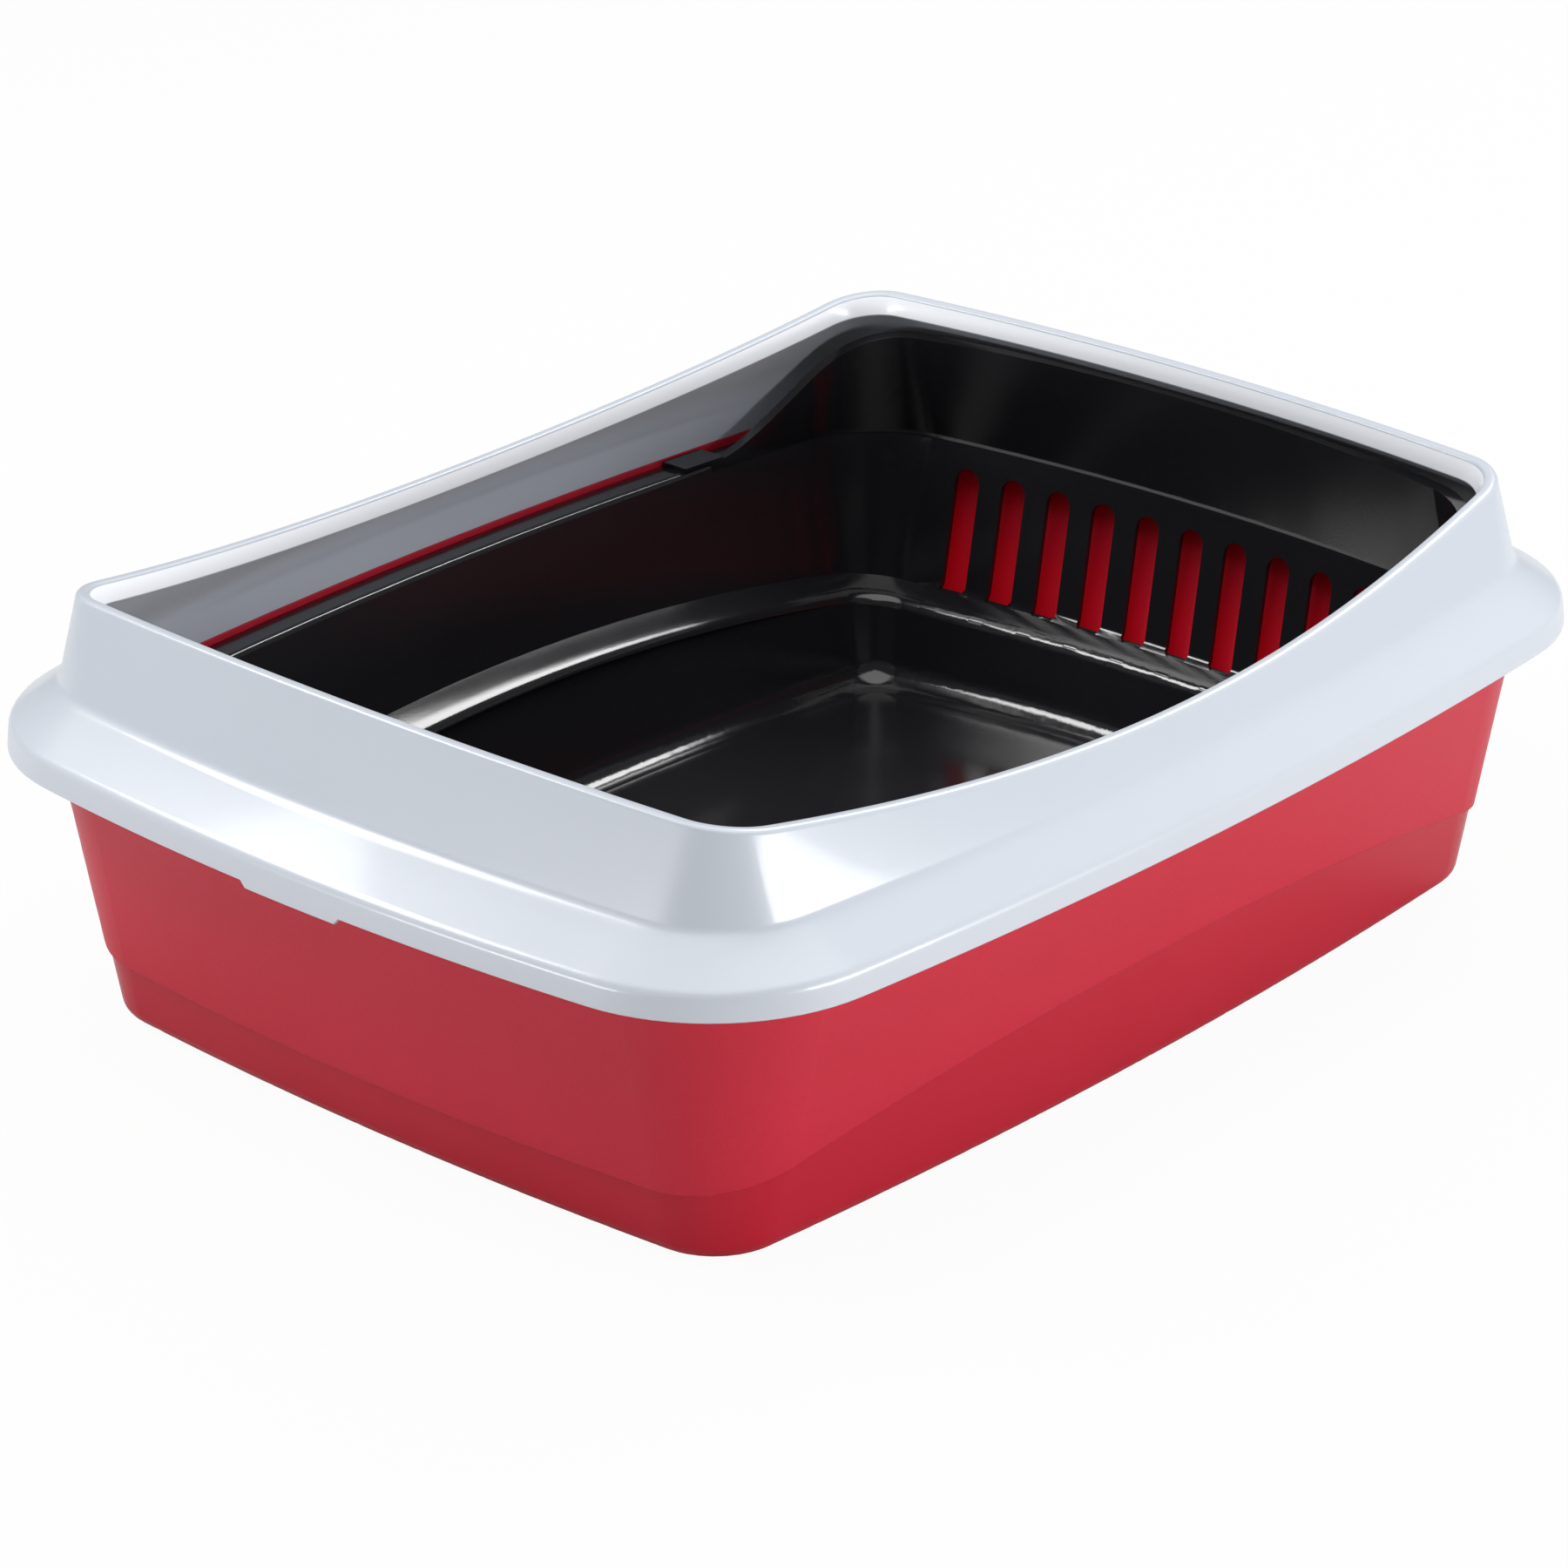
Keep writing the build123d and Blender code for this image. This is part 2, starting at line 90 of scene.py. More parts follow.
# %% Finishes
class Finish:
    """One material and the nodes in it."""

    def __init__(self, name):
        self.material = bpy.data.materials.new(name)
        self.material.use_nodes = True
        self.nodes = self.material.node_tree.nodes
        self.links = self.material.node_tree.links
        self.nodes.clear()
        self.output = self.add("ShaderNodeOutputMaterial")

    def add(self, kind, settings=None, sockets=None):
        """Make a node, set its own settings first, then give its sockets numbers or links."""
        node = self.nodes.new(kind)
        for key, setting in (settings or {}).items():
            setattr(node, key, setting)
        for key, given in (sockets or {}).items():
            if isinstance(given, Value):
                self.links.new(given.socket, node.inputs[key])
            elif isinstance(given, bpy.types.NodeSocket):
                self.links.new(given, node.inputs[key])
            else:
                node.inputs[key].default_value = given
        return node

    def point(self):
        """The point on the piece, in metres."""
        return self.add("ShaderNodeTexCoord").outputs["Object"]

    def split(self, point):
        """The x, y and z of a point as values."""
        node = self.add("ShaderNodeSeparateXYZ", None, {0: point})
        return [Value(self, socket) for socket in node.outputs]

    def facing_out(self, point):
        """Negative where the surface faces the middle of the box, positive where it faces away."""
        normal = self.add("ShaderNodeNewGeometry").outputs["Normal"]
        sockets = {0: normal, 1: point}
        node = self.add("ShaderNodeVectorMath", {"operation": "DOT_PRODUCT"}, sockets)
        return Value(self, node.outputs["Value"])

    def noise(self, point, scale, detail=2.0):
        """Soft random value around a half, with features about one over scale metres wide."""
        sockets = {"Vector": point, "Scale": scale, "Detail": detail}
        return Value(self, self.add("ShaderNodeTexNoise", None, sockets).outputs[0])

    def ease(self, value, start, end):
        """Turn smoothly from 0 to 1 while a value goes from start to end."""
        sockets = {0: value, 1: start, 2: end, 3: 0.0, 4: 1.0}
        node = self.add("ShaderNodeMapRange", {"interpolation_type": "SMOOTHSTEP"}, sockets)
        return Value(self, node.outputs[0])

    def blend(self, share, first, second):
        """Mix two colours by a share that varies."""
        sockets = {0: share, 6: (*first, 1), 7: (*second, 1)}
        return self.add("ShaderNodeMix", {"data_type": "RGBA"}, sockets).outputs[2]

    def bump(self, height, distance, strength=1.0):
        """Surface relief: height runs from 0 to 1 over a distance in metres."""
        sockets = {"Height": height, "Distance": distance, "Strength": strength}
        return self.add("ShaderNodeBump", None, sockets).outputs[0]

    def plastic(self, sockets):
        """End the material in one plastic shader."""
        shader = self.add("ShaderNodeBsdfPrincipled", None, sockets)
        self.links.new(shader.outputs[0], self.output.inputs["Surface"])
        return self.material


print("finishes have", len([name for name in vars(Finish) if name[0] != "_"]), "kinds of step")

# %% [markdown]
# ## Red outer tray
# The tray is one moulding in red polypropylene. Above the arched step the mould was sandblasted,
# so the wall is satin with a fine grain; below it the mould was polished, so the band is glossy.
# Two materials on two sets of faces would do, but the step is a curve, so one material asks where
# each point lies against the arch and changes its roughness, relief and colour there: the glossy
# band below the step is painted a darker red, a painted shade. The real wall lets some light
# through, which is what makes the slots of the basin red: a weak red emission on the inner faces,
# low down, is a painted glow that stands for it.

# %% Red tray finish
ARCH_HALF_LENGTH = 0.2627
ARCH_MIDDLE_HEIGHT = 0.0570
ARCH_END_HEIGHT = 0.0235
ARCH_EDGE = 0.0003
# painted shade: the darker red goes on the glossy band below the step, and the cloud mixes in
# random tone
SHADED_RED = (0.40, 0.006, 0.020)
PLAIN_RED = (0.50, 0.014, 0.036)
LIGHT_THROUGH_RED = (0.15, 0.0, 0.001)
GLOW_TOP = 0.112
GLOW_FULL = 0.050


def arch_value(y):
    """Height of the tray's arched step as a value, from the circle that it follows."""
    rise = ARCH_MIDDLE_HEIGHT - ARCH_END_HEIGHT
    radius = (ARCH_HALF_LENGTH**2 + rise**2) / (2 * rise)
    return (radius**2 - y * y) ** 0.5 + (ARCH_MIDDLE_HEIGHT - radius)


def red_tray_finish():
    finish = Finish("red_tray_plastic")
    point = finish.point()
    _, y, z = finish.split(point)
    satin = finish.ease(z - arch_value(y), -ARCH_EDGE, ARCH_EDGE)
    grain = finish.noise(point, 1400.0, 3.0)
    cloud = finish.noise(point, 14.0)
    inside = finish.ease(finish.facing_out(point), -0.02, -0.14)
    low_down = finish.ease(z, GLOW_TOP, GLOW_FULL)
    return finish.plastic({
        # painted shade darkens the glossy band below the step; the cloud adds random tone
        "Base Color": finish.blend(cloud * 0.4 + satin * 0.5, SHADED_RED, PLAIN_RED),
        "Roughness": satin * 0.20 + 0.17 + grain * 0.06,
        "Normal": finish.bump(grain * (satin * 0.9 + 0.1), 0.00012),
        "IOR": 1.4,
        "Emission Color": finish.blend(inside * low_down, (0, 0, 0), LIGHT_THROUGH_RED),
        "Emission Strength": 1.0,
    })


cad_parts["outer_tray"].data.materials[0] = red_tray_finish()
print("red tray finished")

# %% [markdown]
# ## Black sieve basin
# The basin is black polypropylene with a soft gloss, so it is seen mostly by what it mirrors.
# The base colour stays just above black, and a slow wave in the surface breaks up the reflections
# in the way that a cooled moulding does.

# %% Black basin finish
DEEP_BLACK = (0.010, 0.0096, 0.0112)
SOFT_BLACK = (0.015, 0.0143, 0.0165)


def black_basin_finish():
    finish = Finish("black_basin_plastic")
    point = finish.point()
    wave = finish.noise(point, 9.0)
    grain = finish.noise(point, 1600.0, 3.0)
    return finish.plastic({
        "Base Color": finish.blend(wave, DEEP_BLACK, SOFT_BLACK),
        "Roughness": wave * 0.04 + grain * 0.03 + 0.09,
        "Normal": finish.bump(wave + grain * 0.03, 0.0008),
        "IOR": 1.6,
    })


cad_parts["sieve_tray"].data.materials[0] = black_basin_finish()
print("black basin finished")

# %% [markdown]
# ## Frosted plastic
# The frame is polypropylene with very little white in it: bluish, milky, and a little light passes
# through. Full transmission would show the tray behind it, which the real one hardly does, so the
# colour is milky, with a thin clear coat for the sharp edge highlights. Where light passes through
# to the inner face it shows paler low down, so the two colours also blend by height: a painted
# shade higher up and painted light low down, strongest on the inner face.

# %% Frosted plastic finish
# heights between which the painted shade above turns into the painted light below
PAINTED_LIGHT_BELOW = 0.134
PAINTED_SHADE_ABOVE = 0.148


def frosted_frame_finish(name, shaded_above, lit_below):
    finish = Finish(name)
    point = finish.point()
    _, _, z = finish.split(point)
    cloud = finish.noise(point, 11.0)
    grain = finish.noise(point, 1200.0, 3.0)
    low_down = finish.ease(z, PAINTED_SHADE_ABOVE, PAINTED_LIGHT_BELOW)
    return finish.plastic({
        # painted shade higher up and painted light low down, blended by height; the cloud adds
        # random tone
        "Base Color": finish.blend(cloud * 0.3 + low_down * 0.7, shaded_above, lit_below),
        "Roughness": cloud * 0.08 + grain * 0.05 + 0.26,
        "Normal": finish.bump(cloud * 0.8 + grain * 0.03, 0.0010, 0.4),
        "IOR": 1.5,
        "Coat Weight": 0.25,
        "Coat Roughness": 0.08,
    })


# one frosted plastic in three copies: the inner one darker as painted shade, the lip one much paler
# as painted light
outer_finish = frosted_frame_finish("frosted_frame_plastic", (0.46, 0.49, 0.54), (0.49, 0.52, 0.57))
inner_painted_shade_finish = frosted_frame_finish("frosted_frame_inside_painted_shade", (0.39, 0.395, 0.42), (0.58, 0.62, 0.70))
lip_painted_light_finish = frosted_frame_finish("frosted_frame_lip_painted_light", (0.88, 0.90, 0.94), (0.90, 0.92, 0.95))
FRAME_FINISHES = [outer_finish, inner_painted_shade_finish, lip_painted_light_finish]
OUTER, INNER, LIP = range(len(FRAME_FINISHES))
print(len(FRAME_FINISHES), "shades of frosted plastic")

# %% [markdown]
# ## Outlines seen from above
# Every ring of this object is a rectangle with bowed sides and rounded corners. One small class
# gives the points of such an outline, always the same number in the same order, so that any two
# outlines can be joined by faces. Extruding a Blender curve would also do, but then rings of
# different sizes would not match point by point.

# %% Outlines
MM = 0.001
SIDE_STEPS = 40
CORNER_STEPS = 16
END_STEPS = 26
TAB_HALF_WIDTH = 25.5
TAB_CHAMFER = 2.4


def arc_radius(half_chord, bow):
    """Radius of the circle whose arc rises by a bow over a chord."""
    return (half_chord**2 + bow**2) / (2 * bow)


class Outline:
    """Rectangle with bowed sides and rounded corners, in millimetres."""

    def __init__(self, half_width, half_length, side_bow, end_bow, corner):
        self.sizes = (half_width, half_length, side_bow, end_bow, corner)

    def inset(self, distance):
        width, length, side_bow, end_bow, corner = self.sizes
        return Outline(width - distance, length - distance, side_bow, end_bow, corner - distance)

    def toward(self, other, share):
        return Outline(*(a + (b - a) * share for a, b in zip(self.sizes, other.sizes)))

    def quarter(self):
        """Points from the middle of a long side round one corner to the middle of a short side."""
        half_width, half_length, side_bow, end_bow, corner = self.sizes
        side_radius = arc_radius(half_length - end_bow, side_bow)
        end_radius = arc_radius(half_width - side_bow, end_bow)
        side_x, end_y = half_width - side_radius, half_length - end_radius
        apart = math.hypot(side_x, end_y)
        near, far = side_radius - corner, end_radius - corner
        along = (near**2 - far**2 + apart**2) / (2 * apart)
        across = math.sqrt(near**2 - along**2)
        corner_x = side_x - side_x * along / apart + abs(end_y) * across / apart
        corner_y = end_y * along / apart + abs(side_x) * across / apart
        side_end = math.atan2(corner_y, corner_x - side_x)
        end_start = math.atan2(corner_y - end_y, corner_x)
        points = []
        for step in range(SIDE_STEPS):
            angle = side_end * step / SIDE_STEPS
            points.append((side_x + side_radius * math.cos(angle), side_radius * math.sin(angle)))
        for step in range(CORNER_STEPS):
            angle = side_end + (end_start - side_end) * step / CORNER_STEPS
            x, y = corner * math.cos(angle), corner * math.sin(angle)
            points.append((corner_x + x, corner_y + y))
        tangent_x = end_radius * math.cos(end_start)
        places = [tangent_x * (1 - step / END_STEPS) for step in range(END_STEPS)]
        places += [TAB_HALF_WIDTH, TAB_HALF_WIDTH - TAB_CHAMFER, 0.0]
        for place in sorted(places, reverse=True):
            points.append((place, end_y + math.sqrt(end_radius**2 - place**2)))
        return points

    def ring(self):
        """All points, once round."""
        first = self.quarter()
        second = [(-x, y) for x, y in reversed(first)]
        third = [(-x, -y) for x, y in first]
        fourth = [(x, -y) for x, y in reversed(first)]
        return first[:-1] + second[:-1] + third[:-1] + fourth[:-1]

    def at(self, height):
        return [(x, y, height) for x, y in self.ring()]


TRAY_TOP = Outline(200.3, 262.7, 15.3, 16.3, 59.0)
SKIRT = TRAY_TOP.inset(-17.3)
REBATE = TRAY_TOP.inset(-1.6)
print("an outline has", len(TRAY_TOP.ring()), "points")

# %% [markdown]
# ## From rings to a piece
# Once the rings are in order, a piece is only faces from each ring to the next. Shading is soft
# all over but for edges sharper than thirty degrees, which stay crisp. Every piece rides a body,
# so that it moves with it.

# %% Joined rings
SHARP_EDGE = math.radians(30)


def joined_rings(name, rings, finishes, body, closed):
    """One piece whose faces join each ring to the next, and the last to the first if closed."""
    count = len(rings[0])
    points = [(x * MM, y * MM, z * MM) for ring in rings for x, y, z in ring]
    pairs = list(zip(range(len(rings)), range(1, len(rings))))
    if closed:
        pairs.append((len(rings) - 1, 0))
    faces = []
    for low, high in pairs:
        for step in range(count):
            after = (step + 1) % count
            corners = (low * count + step, low * count + after)
            faces.append(corners + (high * count + after, high * count + step))
    mesh = bpy.data.meshes.new(name)
    mesh.from_pydata(points, [], faces)
    mesh.shade_smooth()
    mesh.set_sharp_from_angle(angle=SHARP_EDGE)
    for finish in finishes:
        mesh.materials.append(finish)
    piece = bpy.data.objects.new(name, mesh)
    scene.collection.objects.link(piece)
    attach(piece, body)
    print(name, len(points), "points", len(faces), "faces")
    return piece


# %% [markdown]
# ## Frosted frame
# The real frame is one moulding, about 2 mm thick, whose leaning wall sags along the long sides
# and ends in a lip that is turned inward and hooks down. The packed model's frame has a slightly
# wider mouth and a thinner lip. It could be left as it is, but the lip is the nearest edge to the
# camera, so the frame is drawn again here as rings that run round its section: up the skirt, over
# the lip, down the inner wall and under the shelf.

# %% Frame sizes
FRAME_TOP = Outline(179.6, 241.7, 7.5, 9.0, 24.0)
FRAME_FOOT = Outline(199.3, 255.5, 17.7, 12.4, 46.6)
FRAME_HEIGHT = 179.0
FRAME_DIP = 23.2
FOOT_HEIGHT = 140.5
SKIRT_LOW = 116.0
SKIRT_BEND_HEIGHT = 126.5
TAB_DROP = 2.6
WALL = 2.2
TRAY_RIM_HEIGHT = 118.5
print("wall rises", FRAME_HEIGHT - FOOT_HEIGHT, "mm and sags", FRAME_DIP, "mm")

# %% [markdown]
# ## Ways to place a ring
# Three kinds of ring do for the whole section: one that follows the sagging upper edge, a few that
# round the bend between two straight walls, and a few that turn round a point of the lip. The grip
# tab is the same ring with some of its points pulled down.

# %% Ring helpers
def edge_ring(inset, drop):
    """Ring on the leaning wall, moved inward, at a drop below its sagging upper edge."""
    arc = arc_radius(FRAME_TOP.sizes[1], FRAME_DIP)
    points = []
    for foot, top in zip(FRAME_FOOT.inset(inset).ring(), FRAME_TOP.inset(inset).ring()):
        x, y = top
        for _ in range(4):  # the height and the place depend on each other, and soon settle
            height = FRAME_HEIGHT - FRAME_DIP + arc - math.sqrt(arc**2 - y * y) - drop
            share = (height - FOOT_HEIGHT) / (FRAME_HEIGHT - FOOT_HEIGHT)
            x, y = (a + (b - a) * share for a, b in zip(foot, top))
        points.append((x, y, height))
    return points


def soft_bend(start, corner, end, steps):
    """Rings along a soft curve between two straight walls that would meet in a corner."""
    (lower, low), (middle, bend), (upper, high) = start, corner, end
    rings = []
    for step in range(steps + 1):
        share = step / steps
        height = low + (bend - low) * share
        height += (bend + (high - bend) * share - height) * share
        outline = lower.toward(middle, share).toward(middle.toward(upper, share), share)
        rings.append(outline.at(height))
    return rings


def lip_turn(inset, drop, radius, first_angle, last_angle, steps):
    """Rings round an edge of the lip, about a centre given by its inset and drop."""
    rings = []
    for step in range(steps + 1):
        angle = math.radians(first_angle + (last_angle - first_angle) * step / steps)
        rings.append(edge_ring(inset - radius * math.cos(angle), drop - radius * math.sin(angle)))
    return rings


def with_tab(ring):
    """The same ring with the grip tab hanging down in the middle of both short sides."""
    points = []
    for x, y, z in ring:
        share = min(max((TAB_HALF_WIDTH - abs(x)) / TAB_CHAMFER, 0.0), 1.0)
        points.append((x, y, z - TAB_DROP * share if abs(y) > FRAME_TOP.sizes[1] else z))
    return points


print("upper edge from", round(min(z for _, _, z in edge_ring(0, 0)), 1), "mm up")

# %% [markdown]
# ## Outer face
# The skirt is nearly upright and bends softly into the shelf, and the shelf bends into the wall.

# %% Outer face of the frame
SKIRT_DRAFT = 0.9
EDGE_BEVEL = 0.5
SHELF_RISE = FOOT_HEIGHT - SKIRT_BEND_HEIGHT
BEND_FROM_SKIRT = (0.76, 8.0)
BEND_TO_SHELF = 0.12
SHELF_TO_WALL = 0.86
WALL_START = 0.055


def outer_rings():
    shelf = SKIRT.inset(SKIRT_DRAFT)
    rings = [with_tab(SKIRT.at(SKIRT_LOW + EDGE_BEVEL))]
    share, rise = BEND_FROM_SKIRT
    rings += soft_bend(
        (SKIRT.toward(shelf, share), SKIRT_LOW + rise),
        (shelf, SKIRT_BEND_HEIGHT),
        (shelf.toward(FRAME_FOOT, BEND_TO_SHELF), SKIRT_BEND_HEIGHT + SHELF_RISE * BEND_TO_SHELF),
        steps=7)
    wall_rise = (FRAME_HEIGHT - FOOT_HEIGHT) * WALL_START
    rings += soft_bend(
        (shelf.toward(FRAME_FOOT, SHELF_TO_WALL), SKIRT_BEND_HEIGHT + SHELF_RISE * SHELF_TO_WALL),
        (FRAME_FOOT, FOOT_HEIGHT),
        (FRAME_FOOT.toward(FRAME_TOP, WALL_START), FOOT_HEIGHT + wall_rise),
        steps=6)
    return rings


print("outer face has", len(outer_rings()), "rings")

# %% [markdown]
# ## Inner face and underside
# The inner wall runs down to a crease just above the tray, where a rib stands on the tray's rim.
# Outside the rib the shelf is hollow, and the section ends at the skirt's lower edge.

# %% Inner face and underside of the frame
CREASE_HEIGHT = 132.5
CREASE_FROM = (0.2, 1.6)
CREASE_TO = (0.12, 1.7)
RIB_THICKNESS = 2.0
HOLLOW_INNER = (0.29, 134.1)
HOLLOW_OUTER = (0.1, 126.6)
HOLLOW_WALL_HEIGHT = 124.6


def crease_rings():
    foot, top = FRAME_FOOT.inset(WALL), FRAME_TOP.inset(WALL)
    share = (CREASE_HEIGHT - FOOT_HEIGHT) / (FRAME_HEIGHT - FOOT_HEIGHT)
    crease = foot.toward(top, share)
    start_share, rise = CREASE_FROM
    end_share, fall = CREASE_TO
    return soft_bend(
        (crease.toward(foot, start_share), CREASE_HEIGHT + rise),
        (crease, CREASE_HEIGHT),
        (crease.toward(REBATE, end_share), CREASE_HEIGHT - fall),
        steps=3)


def under_rings():
    hollow = SKIRT.inset(WALL + SKIRT_DRAFT)
    inner_share, inner_height = HOLLOW_INNER
    outer_share, outer_height = HOLLOW_OUTER
    return [
        REBATE.at(TRAY_RIM_HEIGHT),
        REBATE.inset(-RIB_THICKNESS).at(TRAY_RIM_HEIGHT),
        FRAME_FOOT.toward(hollow, inner_share).at(inner_height),
        hollow.toward(FRAME_FOOT, outer_share).at(outer_height),
        hollow.at(HOLLOW_WALL_HEIGHT),
        with_tab(SKIRT.inset(WALL).at(SKIRT_LOW + EDGE_BEVEL)),
        with_tab(SKIRT.inset(WALL - EDGE_BEVEL).at(SKIRT_LOW)),
        with_tab(SKIRT.inset(EDGE_BEVEL).at(SKIRT_LOW)),
    ]


print("crease and underside have", len(crease_rings()) + len(under_rings()), "rings")

# %% [markdown]
# ## Lip and the whole frame
# The lip rolls over the top, slopes inward and down, turns round its lower edge and runs back up
# to the wall. Its sloping face catches more light than the rest, and the inner wall less, so both
# take a colour of their own: painted light on the lip's face and painted shade on the inner wall.
# A face belongs to the ring that it starts from, which tells its colour.

# %% Frosted frame
LIP_ROUND = 1.9
LIP_EDGE = 2.0
LIP_FLAT = 3.3
LIP_SLOPE = 150
HOOK_INSET = 8.4
HOOK_DROP = 8.1
HOOK_ROUND = 0.6
LIP_THICKNESS = 1.2
LIP_ROOT = 3.4


def frosted_frame_piece():
    rings = outer_rings()
    rings += lip_turn(LIP_ROUND, LIP_ROUND, LIP_ROUND, 0, 90, steps=5)
    rings += lip_turn(LIP_FLAT, LIP_EDGE, LIP_EDGE, 90, LIP_SLOPE, steps=5)
    lip_face = len(rings) - 1
    rings += lip_turn(HOOK_INSET, HOOK_DROP, HOOK_ROUND, LIP_SLOPE, 270, steps=3)
    inner_first = len(rings) - 1
    hook_back = HOOK_INSET - LIP_THICKNESS
    rings += lip_turn(hook_back, HOOK_DROP, HOOK_ROUND, 270, LIP_SLOPE + 180, steps=3)
    rings += [edge_ring(LIP_ROOT, WALL), edge_ring(WALL, WALL)]
    rings += crease_rings()
    inner_last = len(rings)
    rings += under_rings()
    piece = joined_rings(
        "frosted_frame", rings, FRAME_FINISHES, "frame_body", closed=True)
    # painted light on the lip's sloping face, painted shade on the inner wall
    for polygon in piece.data.polygons:
        ring_number = polygon.vertices[0] // len(rings[0])
        if ring_number == lip_face:
            polygon.material_index = LIP
        elif inner_first <= ring_number <= inner_last:
            polygon.material_index = INNER
        else:
            polygon.material_index = OUTER
    return piece


frosted_frame = frosted_frame_piece()
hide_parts("rim_frame")

# %% [markdown]
# ## Slope of the basin's shoulder
# Between the basin's upper and lower walls runs a shoulder that slopes inward by about thirty
# degrees, so it mirrors the lamp overhead in one even grey band. The packed model has it level
# with a rounded edge, which mirrors a thin line. A smooth strip laid on it, from the upper wall
# down to where the rounding is as steep, gives the slope.

# %% Basin sizes
BASIN_TAPER = 12.5
BASIN_RIM = TRAY_TOP.inset(12.0)
BASIN_RIM_HEIGHT = 115.7
BASIN_SHOULDER = Outline(*BASIN_RIM.inset(BASIN_TAPER).sizes[:4], 24.0)
BASIN_SHOULDER_HEIGHT = 43.0
SHOULDER_WIDTH = 11.0
SHOULDER_ROUND = 6.0
SHOULDER_TOP = 62.0
SHOULDER_FALL = 24.5


def arch_height(y):
    """Height of the shoulder's arch along the box."""
    arc = arc_radius(TRAY_TOP.sizes[1], SHOULDER_FALL)
    return SHOULDER_TOP - arc + math.sqrt(arc**2 - y * y)


print("shoulder at", arch_height(0.0), "mm in the middle")

# %% Shoulder strip
SHOULDER_TILT = 30
ROUND_ANGLES = range(78, SHOULDER_TILT - 1, -12)
STRIP_WIDTH = 12.4
STRIP_STEPS = 4
PROUD = 0.04


def shoulder_ring(outward, rise):
    """Ring at a distance outward from the shoulder's inner edge and a rise over its arch."""
    drop_share = BASIN_TAPER / (BASIN_RIM_HEIGHT - BASIN_SHOULDER_HEIGHT)
    points = []
    for x, y in BASIN_SHOULDER.inset(SHOULDER_WIDTH - outward).ring():
        arch = arch_height(y)
        lean = (arch - BASIN_SHOULDER_HEIGHT) * drop_share * (outward / SHOULDER_WIDTH)
        size = math.hypot(x, y)
        points.append((x + lean * x / size, y + lean * y / size, arch + rise))
    return points


def shoulder_rings():
    """Rings up the rounded edge to where it is as steep as the slope, then up the slope."""
    radius = SHOULDER_ROUND + PROUD
    rings = []
    for degrees in ROUND_ANGLES:
        angle = math.radians(degrees)
        start = SHOULDER_ROUND - radius * math.sin(angle)
        level = radius * math.cos(angle) - SHOULDER_ROUND
        rings.append(shoulder_ring(start, level))
    for step in range(1, STRIP_STEPS + 1):
        outward = start + (STRIP_WIDTH - start) * step / STRIP_STEPS
        rise = level + (outward - start) * math.tan(math.radians(SHOULDER_TILT))
        rings.append(shoulder_ring(outward, rise))
    return rings


joined_rings(
    "basin_shoulder", shoulder_rings(), [black_basin_finish()], "sieve_body",
    closed=False)

# %% [markdown]
# ## Wider drain slots
# The photographed slots are about 12 mm wide, and the packed model's are 7 mm. Its mesh is copied,
# and the points round each slot are moved along the wall: outward from the slot's middle, and up
# from its lower end. Where the packed slots notch the shoulder, the notch is filled to its level.

# %% Slot places
LAST_SLOT = 5
OLD_SLOT = {"pitch": 24.3, "half": 3.5, "low": 41.0, "high": 99.0}
NEW_SLOT = {"pitch": 23.55, "half": 6.1, "low": 46.5, "high": 101.8}


def nearest_slot(x):
    """Number of the nearest packed slot, counted from the middle one."""
    return min(max(round(x / OLD_SLOT["pitch"]), -LAST_SLOT), LAST_SLOT)


def blend_out(x, edge):
    """Ease back to the old place beyond the last slot."""
    end = edge + OLD_SLOT["half"] * 2
    new_edge = (LAST_SLOT + 0.5) * NEW_SLOT["pitch"]
    if x >= end:
        return x
    return new_edge + (x - edge) * (end - new_edge) / (end - edge)


def moved_across(x):
    """New place across the wall for a point in or between the slots."""
    index = nearest_slot(x)
    off = x - index * OLD_SLOT["pitch"]
    size, old_bar, new_bar = abs(off), OLD_SLOT["pitch"] / 2, NEW_SLOT["pitch"] / 2
    if size <= OLD_SLOT["half"]:
        size *= NEW_SLOT["half"] / OLD_SLOT["half"]
    elif size <= old_bar:
        share = (size - OLD_SLOT["half"]) / (old_bar - OLD_SLOT["half"])
        size = NEW_SLOT["half"] + (new_bar - NEW_SLOT["half"]) * share
    else:
        return math.copysign(blend_out(abs(x), abs(index) * OLD_SLOT["pitch"] + old_bar), x)
    return index * NEW_SLOT["pitch"] + math.copysign(size, off)


def moved_up(z):
    """New height for a point on the edge of a slot."""
    old_crown = OLD_SLOT["high"] - OLD_SLOT["half"]
    new_crown = NEW_SLOT["high"] - NEW_SLOT["half"]
    if z > old_crown:
        return new_crown + (z - old_crown) * NEW_SLOT["half"] / OLD_SLOT["half"]
    stretch = (new_crown - NEW_SLOT["low"]) / (old_crown - OLD_SLOT["low"])
    return NEW_SLOT["low"] + (z - OLD_SLOT["low"]) * stretch


print("a point 3.5 mm off the middle slot goes to", moved_across(3.5), "mm")

# %% Slot points
WALL_BEND_RADIUS = 860.0
LOW_WALL_BEND_RADIUS = 798.0
WALL_LEAN = 0.172
SLOT_WALL_Y = 200.0
SLOT_ROW_HALF = 145.0
SLOT_MARGIN = 0.3
SLOT_SIDE_MARGIN = 0.05
WALL_MARGIN = 0.9
NOTCH_RISE = 3.0


def shoulder_level(outward, y):
    """Height of the packed model's shoulder."""
    rounding = SHOULDER_ROUND - min(max(outward, 0.0), SHOULDER_ROUND)
    return arch_height(y) - SHOULDER_ROUND + math.sqrt(SHOULDER_ROUND**2 - rounding**2)


